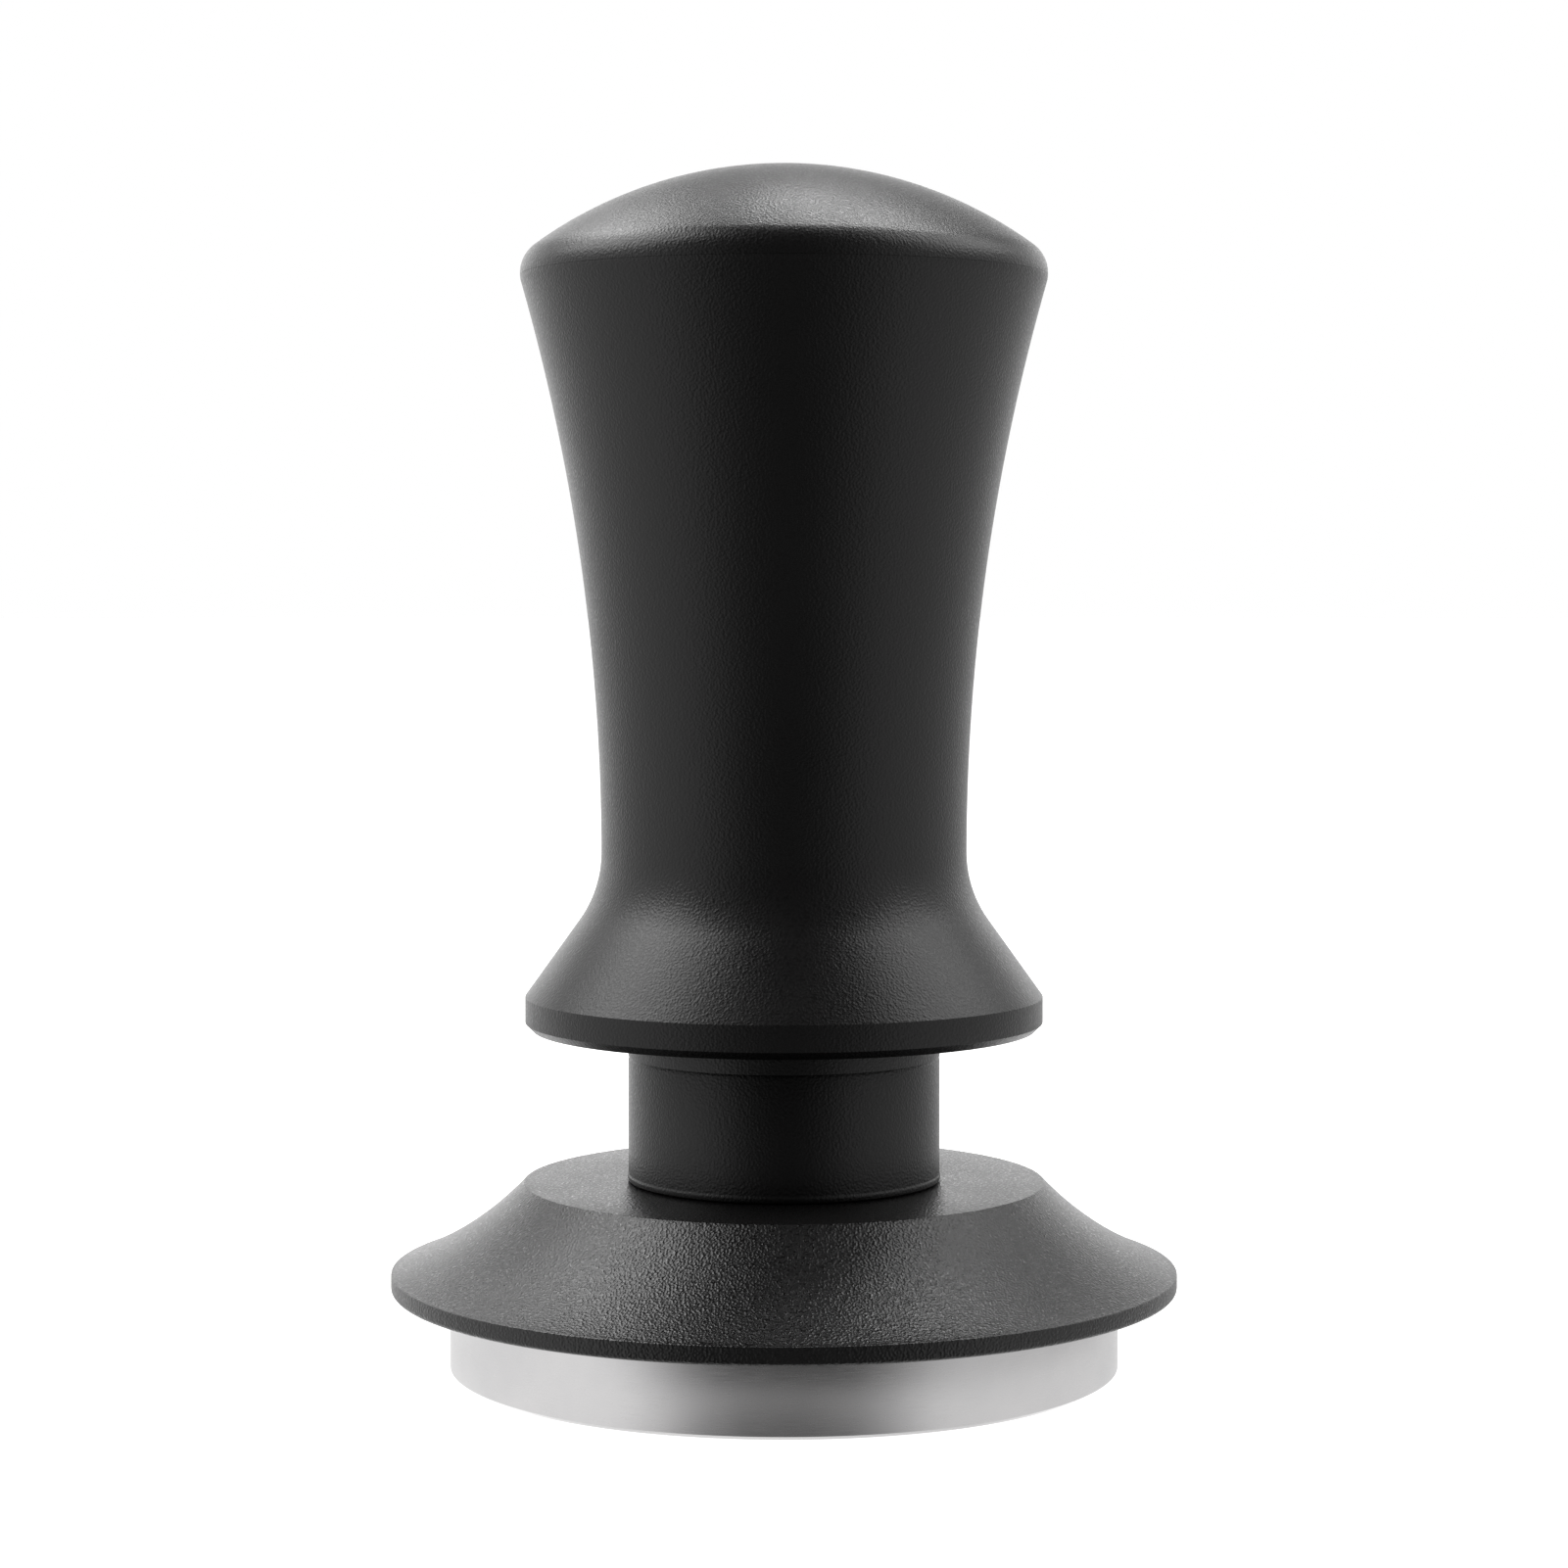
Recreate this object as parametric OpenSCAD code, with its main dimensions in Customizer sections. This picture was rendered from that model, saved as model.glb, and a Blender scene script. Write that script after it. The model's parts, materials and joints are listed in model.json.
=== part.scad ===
// Spring-loaded, self-levelling espresso tamper, in millimetres.
// The origin is the centre of the tamping face and +Z runs up the shaft.
// Every piece is drawn at rest: the handle at the top of its stroke, the leveller at the bottom of its own.

/* [Tamping base] */
// Diameter of the tamping base, a close fit in a 58 mm filter basket
base_d = 58.35; // [57:0.05:58.6]
// Height of the band that has the full diameter
base_band_h = 6.8; // [5:0.1:6.8]
// Chamfer at the foot of the band
base_edge = 0.3; // [0.1:0.1:0.6]
// Thickness of the base, with the relieved step above its band
base_h = 8.8; // [8:0.1:8.8]
// Diameter of the relieved step
base_step_d = 56.8; // [54:0.1:56.8]
// Diameter of the hub that holds the shaft
hub_d = 18; // [16:0.5:18]
// Height of the hub's top above the tamping face
hub_top = 11.5; // [10:0.1:11.5]

/* [Leveller] */
// Diameter of the levelling skirt
skirt_d = 68.6; // [67:0.1:72]
// Height of the face that lands on the basket's rim
skirt_bottom = 7; // [7:0.1:7.2]
// Height of the skirt, from that face to its flat top
skirt_h = 9.2; // [9:0.1:9.4]
// Height of the skirt's upright rim
rim_h = 1.6; // [1.4:0.1:2]
// Diameter of the skirt's flat top
skirt_flat_d = 45.5; // [43:0.5:47]
// Radius of the hollow slope between the flat top and the rim
cove_r = 30.5; // [28:0.5:60]
// Outside diameter of the neck sleeve
neck_d = 27.25; // [27:0.05:27.4]
// Wall thickness of the neck sleeve
neck_wall = 1.6; // [1.2:0.1:2]
// Height of the fine ring groove above the tamping face
ring_groove_z = 27.1; // [24:0.05:28]

/* [Handle] */
// Overall height of the tamper
total_h = 104.85; // [104:0.05:108]
// Diameter of the handle at its widest point, where the cap meets the body
handle_d = 45.96; // [45.4:0.02:46.6]
// Radius of the cap's dome
dome_r = 36.85; // [34:0.05:42]
// Radius of the rounded brow
brow_r = 2.9; // [2.4:0.1:3.4]
// Radius of the long hollow flare
flare_r = 181.5; // [170:0.5:190]
// Diameter at the waist
waist_d = 31.94; // [31.5:0.02:33]
// Radius of the fillet under the waist
waist_fillet_r = 10.3; // [8:0.1:12]
// Angle of the lower cone, measured from the axis
cone_angle = 35.7; // [33:0.1:38]
// Diameter of the flange
flange_d = 45.25; // [44:0.05:47]
// Height of the flange's underside above the tamping face
flange_z = 29.55; // [29.5:0.05:29.6]
// Chamfer at the foot of the flange
flange_edge = 0.65; // [0.3:0.05:1]

/* [Mechanism] */
// Diameter of the shaft
shaft_d = 10; // [9.6:0.1:10]
// How far the handle presses down against the main spring
handle_travel = 4; // [2:0.5:4]
// How far the leveller rises against the return spring
leveller_travel = 8.5; // [6:0.5:8.5]
// Bore of the chamber that holds the main spring
chamber_d = 26; // [25.6:0.1:26]
// Wire diameter of the main spring
main_wire_d = 2.6; // [2:0.1:2.8]
// Mean coil diameter of the main spring
main_mean_d = 21; // [20:0.5:21]
// Number of turns of the main spring
main_turns = 8; // [6:1:8]
// Wire diameter of the return spring
return_wire_d = 0.9; // [0.6:0.1:1]
// Mean coil diameter of the return spring
return_mean_d = 15.4; // [15.4:0.2:16.4]
// Number of turns of the return spring
return_turns = 8; // [6:1:9]

/* [Hidden] */
$fn = 96;

// Clearances
eps = 1;                    // how far a cutter runs past the face it cuts
contact_gap = 0.1;          // left between moving pieces that rest on each other
running_gap = 0.05;         // radial clearance of a sliding fit
free_gap = 0.3;             // left where nothing touches
base_gap = 0.425;           // radial clearance between base and skirt

// Base
base_r = base_d / 2;
thread_r = 4;               // both threaded ends of the shaft
thread_depth = 8;           // of the tapped hole in the hub
thread_engaged = 7.5;       // of the shaft in that hole
hub_edge = 0.4;
step_edge = 0.5;

// Leveller
skirt_r = skirt_d / 2;
skirt_top = skirt_bottom + skirt_h;
rim_top_round = 0.4;
rim_bottom_round = 0.5;
recess_r = base_r + base_gap;
recess_depth = 2.3;         // of the pocket that lies over the base
recess_top = skirt_bottom + recess_depth;
recess_edge = 0.2;
skirt_plate = 3;            // thickness of the skirt round the neck
neck_r = neck_d / 2;
spigot_r = 12.6;
spigot_bore_r = 10.4;
neck_overlap = 5.95;        // of the neck inside the handle, at rest
neck_top = flange_z + neck_overlap;
hub_bumper_h = 1;
hub_bumper_r = 8.4;
neck_floor_bottom = hub_top + hub_bumper_h + contact_gap;
neck_floor_rise = 2.4;      // of the floor's upper face above the skirt's flat top
neck_floor_top = skirt_top + neck_floor_rise;
neck_edge = 0.3;
foot_h = 0.55;              // the neck's slightly proud foot
foot_proud = 0.1;
foot_round = 0.35;
foot_run = 0.3;             // from the foot's top up to the plain neck
groove_w = 0.28;            // of the groove's sloping side, under its deepest point
groove_lip = 0.04;          // of its upper side
groove_depth = 0.07;
ring_nut_r = 17;
ring_nut_h = 2.8;
ring_nut_slots = 4;
ring_nut_slot_w = 3;
ring_nut_slot_depth = 1.2;
bush_wall = 1.5;
bush_flange_r = 9.2;
bush_flange_h = 0.8;
sleeve_bush_top = neck_floor_top + bush_flange_h;

// Parts on the shaft
shaft_r = shaft_d / 2;
web_gap = 0.8;              // between neck and web, with both travels used up
web_bottom = neck_top + leveller_travel + handle_travel + web_gap;
guide_flange_h = 1;
circlip_h = 1.2;
circlip_bottom = web_bottom - guide_flange_h - handle_travel - free_gap - circlip_h;
circlip_r = 7.4;
circlip_groove_depth = 0.4;
circlip_groove_r = shaft_r - circlip_groove_depth;
circlip_gap = 5;
seat_h = 1.5;
seat_r = 9.2;
thrust_bottom = sleeve_bush_top + contact_gap;
thrust_h = 1;
thrust_top = thrust_bottom + thrust_h;
spacer_bottom = thrust_top + leveller_travel + contact_gap;
spacer_top = circlip_bottom - seat_h;
spacer_wall = 1.3;
spacer_r = shaft_r + spacer_wall;

// Handle: the dome is centred on the axis, and each arc is tangent to the next
handle_r = handle_d / 2;
flange_r = flange_d / 2;
waist_r = waist_d / 2;
dome_z = total_h - dome_r;
brow_cr = handle_r - brow_r;
brow_z = dome_z + sqrt(pow(dome_r - brow_r, 2) - pow(brow_cr, 2));
brow_angle = atan2(brow_z - dome_z, brow_cr);
flare_cr = waist_r + flare_r;
flare_run = flare_cr - brow_cr;
flare_rise = sqrt(pow(flare_r + brow_r, 2) - pow(flare_run, 2));
waist_z = brow_z - flare_rise;
flare_angle = atan2(flare_rise, flare_run);
fillet_cr = waist_r + waist_fillet_r;
cone_r = fillet_cr - waist_fillet_r * cos(cone_angle);
cone_z = waist_z - waist_fillet_r * sin(cone_angle);
flange_top = cone_z - (flange_r - cone_r) / tan(cone_angle);

// Parting line between body and cap: a fine groove, just under the widest point
seam_drop = 0.18;
seam_z = brow_z - seam_drop;
seam_angle = asin(seam_drop / brow_r);
seam_groove_angle = 1.2;    // half of the groove's width, seen from the brow's centre
seam_groove_depth = 0.05;

// Handle: inside
mouth_r = 14;
web_h = 3.5;
web_top = web_bottom + web_h;
chamber_r = chamber_d / 2;
collar_r = 17;
collar_h = 2.68;            // of the threaded collar above the parting line
collar_top = seam_z + collar_h;
lock_ring_h = 1.6;
lock_ring_drop = 0.075;     // of the lock ring below the collar's top
lock_ring_bottom = collar_top - lock_ring_drop - lock_ring_h;
preload_r = 14.2;
preload_screw_h = 4.4;
preload_screw_bottom = lock_ring_bottom - preload_screw_h;
seat_plate_h = 1.8;
chamber_top = preload_screw_bottom - seat_plate_h;
o_ring_d = 1.5;
o_ring_mean_r = 19.8;
o_ring_groove_w = 2;
o_ring_groove_depth = 1.6;
wiper_lip = 0.5;            // between the flange's underside and the wiper
wiper_bottom = flange_z + wiper_lip;
wiper_h = 1.1;
wiper_r = 15;
glide_lip = 0.3;            // between wiper and glide ring
glide_bottom = wiper_bottom + wiper_h + glide_lip;
glide_h = 5;
glide_r = 15.4;
keyway_w = 3.2;
keyway_r = 14.1;

// Plunger, main spring and preload
plunger_bumper_h = 0.5;
plunger_bottom = web_top + contact_gap + plunger_bumper_h;
plunger_h = 7;
plunger_top = plunger_bottom + plunger_h;
plunger_gap = 0.4;          // radial, between plunger and chamber
plunger_r = chamber_r - plunger_gap;
plunger_boss_r = 8.4;
plunger_boss_h = 1.4;
guide_ring_h = 2;
guide_ring_drop = 0.6;      // of the guide ring below the plunger's top face
guide_ring_bottom = plunger_top - guide_ring_drop - guide_ring_h;
guide_ring_depth = 1;
guide_ring_inner_r = plunger_r - guide_ring_depth;
bumper_r = 12;
pin_d = 3;
pin_gap = 0.2;              // between each end of the pin and its keyway's floor
pin_l = 2 * (keyway_r - pin_gap);
pin_rise = 2.2;             // of the pin's axis above the plunger's lower face
pin_z = plunger_bottom + pin_rise;
keyway_bottom = pin_z - pin_d / 2 - free_gap;
preload_socket_d = 11;
preload_socket_depth = 3;
lock_ring_bore_r = 8;
lock_ring_hole_d = 2;
cap_bore_r = collar_r + running_gap;
cap_bore_top = collar_top + free_gap;
cap_wall = 3;               // thickness of the dome on the axis
cap_pocket_top = total_h - cap_wall;
cap_pocket_r = 8;

// Colours
anodised = [0.09, 0.09, 0.1];
steel = [0.74, 0.74, 0.76];
spring_steel = [0.5, 0.51, 0.54];
bronze = [0.72, 0.53, 0.3];
white_plastic = [0.9, 0.89, 0.85];
rubber = [0.13, 0.13, 0.13];

// Points of an arc in the r-z plane, in steps steps from angle a0 to angle a1
function arc(r0, z0, r, a0, a1, steps) =
    [for (i = [0:steps]) let (a = a0 + (a1 - a0) * i / steps) [r0 + r * cos(a), z0 + r * sin(a)]];

// Distance and direction from p to q, and the centre of the arc of radius r that joins them from below
function arc_centre(p, q, r) =
    let (d = q - p, l = norm(d), h = sqrt(r * r - l * l / 4))
    (p + q) / 2 + [-d[1], d[0]] / l * h;
function angle_from(c, p) = atan2(p[1] - c[1], p[0] - c[0]);

// A turned solid: the outline is in the r-z plane
module turned(outline) {
    rotate_extrude() polygon(outline);
}

// A plain ring between two heights
module ring(inner_r, outer_r, bottom, top) {
    turned([[inner_r, bottom], [outer_r, bottom], [outer_r, top], [inner_r, top]]);
}

// A flanged bush, with its flange at the top or, when it is turned over, at the bottom
module flanged_bush(inner_r, outer_r, bottom, top, flange_bottom, flange_top) {
    union() {
        ring(inner_r, outer_r, bottom, top);
        ring(inner_r, bush_flange_r, flange_bottom, flange_top);
    }
}

// Height of a spring's wire centre after t turns: the first and last turns lie closed, the rest are open
function coil_z(t, turns, wire_d, bottom, top) =
    let (start = 0.1 * wire_d, closed = 1.04 * wire_d, ends = start + closed)
    t <= 1 ? bottom + start + closed * t
    : t >= turns - 1 ? top - start - closed * (turns - t)
    : bottom + ends + (top - bottom - 2 * ends) * (t - 1) / (turns - 2);

// One section of the wire, cut off level with the spring's ground ends
function coil_section(t, turns, mean_d, wire_d, bottom, top, sides) =
    let (zc = coil_z(t, turns, wire_d, bottom, top))
    [for (j = [0:sides - 1])
        let (
            a = 360 * (j + 0.5) / sides,
            r = mean_d / 2 + wire_d / 2 * cos(a),
            z = min(max(zc + wire_d / 2 * sin(a), bottom), top)
        )
        [r * cos(360 * t), r * sin(360 * t), z]];

// A compression spring with closed and ground ends
module coil_spring(mean_d, wire_d, turns, bottom, top, sides, steps) {
    sections = turns * steps;
    points = [for (i = [0:sections])
        each coil_section(i / steps, turns, mean_d, wire_d, bottom, top, sides)];
    walls = [for (i = [0:sections - 1], j = [0:sides - 1])
        let (k = (j + 1) % sides, a = i * sides, b = a + sides)
        each [[a + j, b + k, b + j], [a + j, a + k, b + k]]];
    // Each end's face starts at a corner that the grinding leaves
    first_end = [for (j = [0:sides - 1]) (sides - j) % sides];
    last_end = [for (j = [0:sides - 1]) sections * sides + (j + sides / 2) % sides];
    polyhedron(points, concat([first_end], walls, [last_end]), convexity = 10);
}

// Steel disc with a relieved step and a tapped hub
module tamper_base() {
    color(steel) difference() {
        turned([
            [0, 0],
            [base_r - base_edge, 0],
            [base_r, base_edge],
            [base_r, base_band_h],
            [base_step_d / 2, base_band_h],
            [base_step_d / 2, base_h - step_edge],
            [base_step_d / 2 - step_edge, base_h],
            [hub_d / 2, base_h],
            [hub_d / 2, hub_top - hub_edge],
            [hub_d / 2 - hub_edge, hub_top],
            [0, hub_top]
        ]);
        translate([0, 0, hub_top - thread_depth]) cylinder(r = thread_r, h = thread_depth + eps);
    }
}

// Rod with a threaded stub at each end, a groove for the circlip and a cross hole for the pin
module shaft() {
    color(steel) difference() {
        turned([
            [0, hub_top - thread_engaged],
            [thread_r, hub_top - thread_engaged],
            [thread_r, hub_top],
            [shaft_r, hub_top],
            [shaft_r, circlip_bottom],
            [circlip_groove_r, circlip_bottom],
            [circlip_groove_r, circlip_bottom + circlip_h],
            [shaft_r, circlip_bottom + circlip_h],
            [shaft_r, plunger_bottom],
            [thread_r, plunger_bottom],
            [thread_r, plunger_top],
            [0, plunger_top]
        ]);
        pin_bore();
    }
}

// Hole for the cross pin, along X
module pin_bore() {
    translate([0, 0, pin_z]) rotate([0, 90, 0]) cylinder(d = pin_d, h = 2 * chamber_d, center = true);
}

// Lower stop of the leveller
module hub_bumper() {
    color(rubber) ring(shaft_r, hub_bumper_r, hub_top, hub_top + hub_bumper_h);
}

// Upper stop of the leveller
module stop_spacer() {
    color(steel) ring(shaft_r, spacer_r, spacer_bottom, spacer_top);
}

module return_spring_seat() {
    color(steel) ring(shaft_r, seat_r, spacer_top, spacer_top + seat_h);
}

module shaft_circlip() {
    color(spring_steel) difference() {
        ring(circlip_groove_r, circlip_r, circlip_bottom, circlip_bottom + circlip_h);
        translate([0, -circlip_gap / 2, circlip_bottom - eps])
            cube([circlip_r + eps, circlip_gap, circlip_h + 2 * eps]);
    }
}

module return_spring() {
    color(spring_steel) coil_spring(return_mean_d, return_wire_d, return_turns,
        thrust_top + contact_gap / 2, spacer_top, sides = 6, steps = 18);
}

// Disc on the shaft's upper stub, with a boss inside the main spring and a groove for the guide ring
module plunger_head() {
    color(steel) difference() {
        turned([
            [thread_r, plunger_bottom],
            [plunger_r, plunger_bottom],
            [plunger_r, guide_ring_bottom],
            [guide_ring_inner_r, guide_ring_bottom],
            [guide_ring_inner_r, guide_ring_bottom + guide_ring_h],
            [plunger_r, guide_ring_bottom + guide_ring_h],
            [plunger_r, plunger_top],
            [plunger_boss_r, plunger_top],
            [plunger_boss_r, plunger_top + plunger_boss_h],
            [thread_r, plunger_top + plunger_boss_h]
        ]);
        pin_bore();
    }
}

// Upper stop of the handle
module plunger_bumper() {
    color(rubber) ring(shaft_r, bumper_r, plunger_bottom - plunger_bumper_h, plunger_bottom);
}

module plunger_guide_ring() {
    color(white_plastic) ring(guide_ring_inner_r, chamber_r - running_gap,
        guide_ring_bottom, guide_ring_bottom + guide_ring_h);
}

// Dowel whose ends run in the handle's keyways
module cross_pin() {
    color(steel) translate([0, 0, pin_z]) rotate([0, 90, 0]) cylinder(d = pin_d, h = pin_l, center = true);
}

module main_spring() {
    color(spring_steel) coil_spring(main_mean_d, main_wire_d, main_turns,
        plunger_top, chamber_top - contact_gap / 2, sides = 8, steps = 20);
}

// Lets the leveller turn under the return spring
module thrust_washer() {
    color(white_plastic) ring(shaft_r + running_gap, bush_flange_r, thrust_bottom, thrust_top);
}

// Turned disc: a flat top, a hollow slope down to an upright rim, and a recess for the base underneath
module leveller_skirt() {
    flat_corner = [skirt_flat_d / 2, skirt_top];
    rim_corner = [skirt_r - rim_top_round, skirt_bottom + rim_h];
    centre = arc_centre(flat_corner, rim_corner, cove_r);
    plate_bottom = skirt_top - skirt_plate;
    color(anodised) turned(concat(
        [[spigot_r, skirt_top]],
        arc(centre[0], centre[1], cove_r, angle_from(centre, flat_corner),
            angle_from(centre, rim_corner), 16),
        arc(rim_corner[0], rim_corner[1] - rim_top_round, rim_top_round, 90, 0, 4),
        arc(skirt_r - rim_bottom_round, skirt_bottom + rim_bottom_round, rim_bottom_round, 0, -90, 4),
        [
            [recess_r + recess_edge, skirt_bottom],
            [recess_r, skirt_bottom + recess_edge],
            [recess_r, recess_top],
            [skirt_flat_d / 2, plate_bottom],
            [spigot_r, plate_bottom]
        ]
    ));
}

// Straight neck: a threaded spigot below, a floor for the bush, and a fine groove under the flange
module leveller_sleeve() {
    foot_r = neck_r + foot_proud;
    color(anodised) turned(concat(
        [
            [shaft_r + bush_wall, neck_floor_bottom],
            [spigot_bore_r, neck_floor_bottom],
            [spigot_bore_r, skirt_top - skirt_plate - ring_nut_h],
            [spigot_r, skirt_top - skirt_plate - ring_nut_h],
            [spigot_r, skirt_top]
        ],
        arc(foot_r - foot_round, skirt_top + foot_round, foot_round, -90, 0, 4),
        [
            [foot_r, skirt_top + foot_h],
            [neck_r, skirt_top + foot_h + foot_run],
            [neck_r, ring_groove_z - groove_w],
            [neck_r - groove_depth, ring_groove_z],
            [neck_r, ring_groove_z + groove_lip],
            [neck_r, neck_top - neck_edge],
            [neck_r - neck_edge, neck_top],
            [neck_r - neck_wall, neck_top],
            [neck_r - neck_wall, neck_floor_top],
            [shaft_r + bush_wall, neck_floor_top]
        ]
    ));
}

// Clamps the sleeve under the skirt, and has slots for a pin spanner
module leveller_ring_nut() {
    nut_top = skirt_top - skirt_plate;
    nut_bottom = nut_top - ring_nut_h;
    color(steel) difference() {
        ring(spigot_r, ring_nut_r, nut_bottom, nut_top);
        for (i = [0:ring_nut_slots - 1]) {
            rotate([0, 0, 360 * i / ring_nut_slots])
                translate([ring_nut_r - ring_nut_slot_depth, -ring_nut_slot_w / 2, nut_bottom - eps])
                    cube([ring_nut_slot_depth + eps, ring_nut_slot_w, ring_nut_h + 2 * eps]);
        }
    }
}

// Runs on the shaft, with its flange on the sleeve's floor
module sleeve_bush() {
    color(bronze) flanged_bush(shaft_r + running_gap, shaft_r + bush_wall,
        neck_floor_bottom, sleeve_bush_top, neck_floor_top, sleeve_bush_top);
}

// Outline of the handle and its cap, from the axis at the top to the flange's foot
function cap_outline() = concat(
    arc(0, dome_z, dome_r, 90, brow_angle, 24),
    arc(brow_cr, brow_z, brow_r, brow_angle, seam_groove_angle - seam_angle, 8)
);
function body_outline() = concat(
    arc(brow_cr, brow_z, brow_r, -seam_groove_angle - seam_angle, -flare_angle, 4),
    arc(flare_cr, waist_z, flare_r, 180 - flare_angle, 180, 32),
    arc(fillet_cr, waist_z, waist_fillet_r, 180, 180 + cone_angle, 12),
    [
        [flange_r, flange_top],
        [flange_r, flange_z + flange_edge],
        [flange_r - flange_edge, flange_z]
    ]
);

// Waisted grip: the neck's mouth below, a web with the shaft's bush, and the spring chamber above
module handle_body() {
    color(anodised) difference() {
        turned(concat(
            [
                [preload_r, collar_top],
                [collar_r, collar_top],
                [collar_r, seam_z],
                [o_ring_mean_r - o_ring_groove_w / 2, seam_z],
                [o_ring_mean_r - o_ring_groove_w / 2, seam_z - o_ring_groove_depth],
                [o_ring_mean_r + o_ring_groove_w / 2, seam_z - o_ring_groove_depth],
                [o_ring_mean_r + o_ring_groove_w / 2, seam_z],
                [handle_r - seam_groove_depth, seam_z]
            ],
            body_outline(),
            [
                [mouth_r, flange_z],
                [mouth_r, wiper_bottom],
                [wiper_r, wiper_bottom],
                [wiper_r, wiper_bottom + wiper_h],
                [mouth_r, wiper_bottom + wiper_h],
                [mouth_r, glide_bottom],
                [glide_r, glide_bottom],
                [glide_r, glide_bottom + glide_h],
                [mouth_r, glide_bottom + glide_h],
                [mouth_r, web_bottom],
                [shaft_r + bush_wall, web_bottom],
                [shaft_r + bush_wall, web_top],
                [chamber_r, web_top],
                [chamber_r, chamber_top],
                [preload_r, chamber_top]
            ]
        ));
        translate([-keyway_r, -keyway_w / 2, keyway_bottom])
            cube([2 * keyway_r, keyway_w, chamber_top - keyway_bottom + eps]);
    }
}

module wiper_ring() {
    color(rubber) ring(neck_r + running_gap, wiper_r, wiper_bottom, wiper_bottom + wiper_h);
}

module neck_glide_ring() {
    color(white_plastic) ring(neck_r + running_gap, glide_r, glide_bottom, glide_bottom + glide_h);
}

// Guides the handle on the shaft, with its flange under the web
module shaft_guide_bush() {
    color(bronze) flanged_bush(shaft_r + running_gap, shaft_r + bush_wall,
        web_bottom - guide_flange_h, web_top, web_bottom - guide_flange_h, web_bottom);
}

// Plate under the preload screw, with a boss inside the main spring
module main_spring_seat() {
    color(steel) turned([
        [0, chamber_top - plunger_boss_h],
        [plunger_boss_r, chamber_top - plunger_boss_h],
        [plunger_boss_r, chamber_top],
        [plunger_r, chamber_top],
        [plunger_r, preload_screw_bottom],
        [0, preload_screw_bottom]
    ]);
}

// Threaded disc with a hexagon socket
module preload_screw() {
    color(steel) difference() {
        translate([0, 0, preload_screw_bottom]) cylinder(r = preload_r, h = preload_screw_h);
        translate([0, 0, lock_ring_bottom - preload_socket_depth])
            cylinder(d = preload_socket_d, h = preload_socket_depth + eps, $fn = 6);
    }
}

// Threaded ring with two holes for a pin spanner
module preload_lock_ring() {
    hole_r = (lock_ring_bore_r + preload_r) / 2;
    color(bronze) difference() {
        ring(lock_ring_bore_r, preload_r, lock_ring_bottom, lock_ring_bottom + lock_ring_h);
        for (side = [-1, 1]) {
            translate([side * hole_r, 0, lock_ring_bottom - eps])
                cylinder(d = lock_ring_hole_d, h = lock_ring_h + 2 * eps);
        }
    }
}

// Lies at the bottom of its groove, just clear of the cap
module cap_o_ring() {
    ring_z = seam_z - o_ring_groove_depth + o_ring_d / 2;
    color(rubber) rotate_extrude() translate([o_ring_mean_r, ring_z]) circle(d = o_ring_d);
}

// Domed cap, hollow over the collar it screws on
module top_cap() {
    color(anodised) turned(concat(
        [[0, cap_pocket_top]],
        cap_outline(),
        [
            [handle_r - seam_groove_depth, seam_z],
            [cap_bore_r, seam_z],
            [cap_bore_r, cap_bore_top],
            [preload_r, cap_bore_top],
            [cap_pocket_r, cap_pocket_top]
        ]
    ));
}

tamper_base();
shaft();
hub_bumper();
stop_spacer();
return_spring_seat();
shaft_circlip();
return_spring();
plunger_head();
plunger_bumper();
plunger_guide_ring();
cross_pin();
main_spring();
thrust_washer();
leveller_skirt();
leveller_sleeve();
leveller_ring_nut();
sleeve_bush();
handle_body();
wiper_ring();
neck_glide_ring();
shaft_guide_bush();
main_spring_seat();
preload_screw();
preload_lock_ring();
cap_o_ring();
top_cap();
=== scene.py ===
"""Looks of the espresso tamper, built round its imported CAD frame.

Outlines are in millimetres, as (r, z). A third number is the round at that corner.
"""

import json
import math

import bmesh
import bpy
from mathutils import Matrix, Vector


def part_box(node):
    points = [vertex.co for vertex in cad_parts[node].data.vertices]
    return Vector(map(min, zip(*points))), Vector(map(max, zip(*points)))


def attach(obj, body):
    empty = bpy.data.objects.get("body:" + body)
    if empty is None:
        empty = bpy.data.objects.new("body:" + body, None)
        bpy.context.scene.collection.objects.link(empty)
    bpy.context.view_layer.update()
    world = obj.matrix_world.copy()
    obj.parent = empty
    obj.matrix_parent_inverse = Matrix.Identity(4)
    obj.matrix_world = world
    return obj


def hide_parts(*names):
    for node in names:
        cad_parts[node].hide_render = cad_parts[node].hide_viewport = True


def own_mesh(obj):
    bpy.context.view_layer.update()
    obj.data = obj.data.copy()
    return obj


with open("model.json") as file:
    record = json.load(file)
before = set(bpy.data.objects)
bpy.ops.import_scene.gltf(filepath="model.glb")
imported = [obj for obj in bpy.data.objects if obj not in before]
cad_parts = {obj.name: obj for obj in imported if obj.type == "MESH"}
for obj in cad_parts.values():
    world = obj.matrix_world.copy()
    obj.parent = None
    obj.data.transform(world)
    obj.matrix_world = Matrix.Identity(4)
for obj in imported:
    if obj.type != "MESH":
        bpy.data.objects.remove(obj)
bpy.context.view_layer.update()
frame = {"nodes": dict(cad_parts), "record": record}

MM = 0.001
TINY = 1e-6  # millimetres, up to which two radii count as the same
MERGE_DISTANCE = 1e-7  # metres between two points that become one

SEGMENTS = 192  # round a turned piece
COIL_SIDES = 16  # round a spring's wire
COIL_STEPS = 40  # along one turn of a spring
SHARP_ANGLE = 28.0  # degrees between two faces, from which their edge is drawn sharp
SHARP_COIL_ANGLE = 40.0  # the same for a spring


def bottom(node):
    """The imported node's lowest height, in millimetres."""
    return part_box(node)[0].z / MM


def top(node):
    """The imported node's greatest height, in millimetres."""
    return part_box(node)[1].z / MM


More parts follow.
